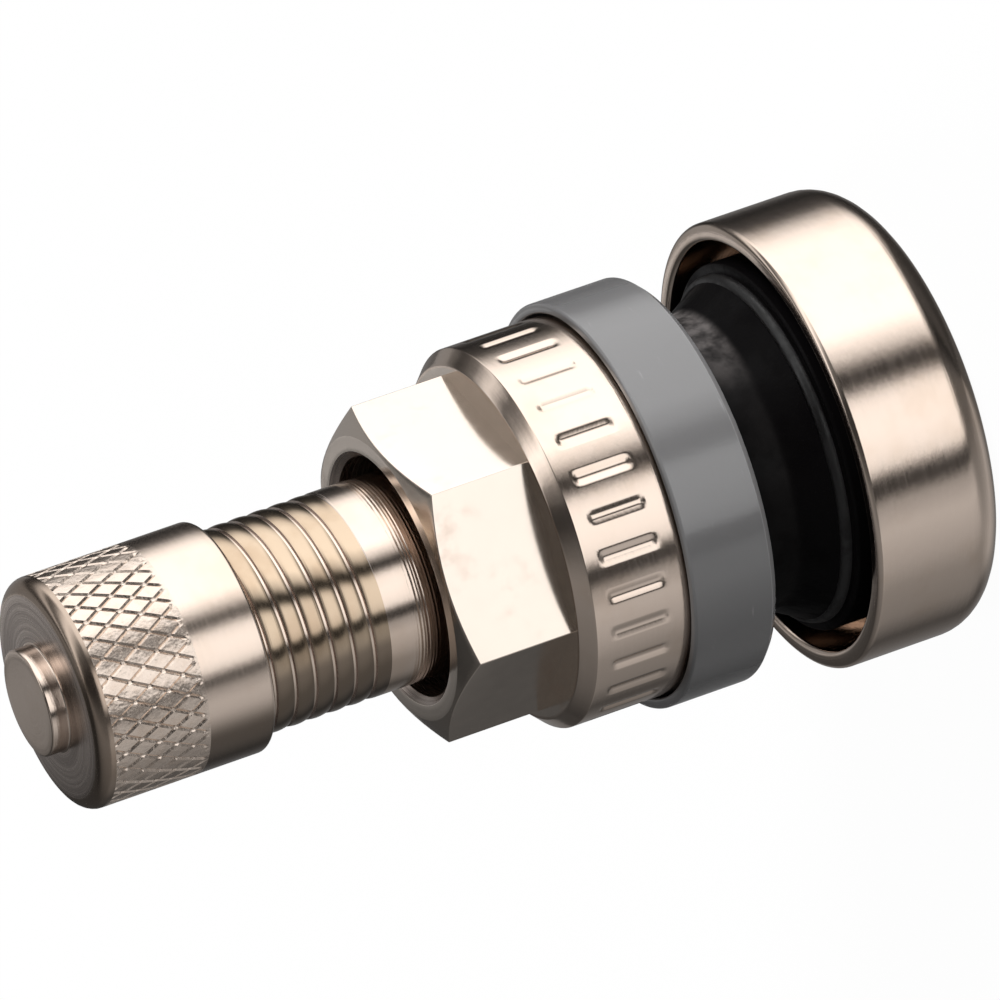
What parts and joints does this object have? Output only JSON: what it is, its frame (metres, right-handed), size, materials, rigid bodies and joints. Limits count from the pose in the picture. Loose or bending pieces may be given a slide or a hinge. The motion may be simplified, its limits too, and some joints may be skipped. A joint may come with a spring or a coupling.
{
  "type": "tyre valve",
  "caption": "Short clamp-in tyre valve for a wheel rim, with a cup head, rubber seal, plastic ring, hexagon nut, knurled screw cap and a spring-loaded core.",
  "frame": {"origin": "centre of the head's flat underside", "axes": "+Z along the valve's axis from the head to the cap; the nut's hexagon has a corner on +X"},
  "size_m": [0.017, 0.017, 0.0352],
  "materials": {
    "nickel_plate": "warm nickel plating over turned brass",
    "black_rubber": "matte",
    "grey_plastic": "semi-matte moulded",
    "core_brass": "turned",
    "core_seal": "matte",
    "spring_steel": "drawn wire"
  },
  "bodies": {
    "stem": {"valve_stem": "nickel_plate", "rim_seal": "black_rubber", "core_plug": "core_brass", "core_barrel": "core_brass", "core_gasket": "core_seal", "core_spring": "spring_steel"},
    "ring": {"pressure_ring": "grey_plastic"},
    "nut": {"clamp_nut": "nickel_plate"},
    "gasket": {"cap_gasket": "black_rubber"},
    "cap": {"valve_cap": "nickel_plate"},
    "pin": {"core_pin": "core_brass", "core_cup": "core_brass", "core_washer": "black_rubber"}
  },
  "joints": [
    {"name": "nut_run", "type": "slide", "parent": "stem", "child": "ring", "axis": [0, 0, 1], "range_m": [0, 0.006]},
    {"name": "nut_turn", "type": "hinge", "parent": "ring", "child": "nut", "pos_m": [0, 0, 0.0154], "axis": [0, 0, 1], "range_deg": [0, 2881]},
    {"name": "cap_run", "type": "slide", "parent": "stem", "child": "gasket", "axis": [0, 0, 1], "range_m": [0, 0.01588]},
    {"name": "cap_turn", "type": "hinge", "parent": "gasket", "child": "cap", "pos_m": [0, 0, 0.0313], "axis": [0, 0, 1], "range_deg": [0, 7202]},
    {"name": "pin_press", "type": "slide", "parent": "stem", "child": "pin", "axis": [0, 0, -1], "range_m": [0, 0.002], "stiffness_N_per_m": 400, "springref_m": -0.003, "deforming": ["core_spring"]}
  ],
  "couplings": [
    {"joint": "nut_turn", "follows": "nut_run", "rad_per_m": 8377.6},
    {"joint": "cap_turn", "follows": "cap_run", "rad_per_m": 7913.3}
  ]
}
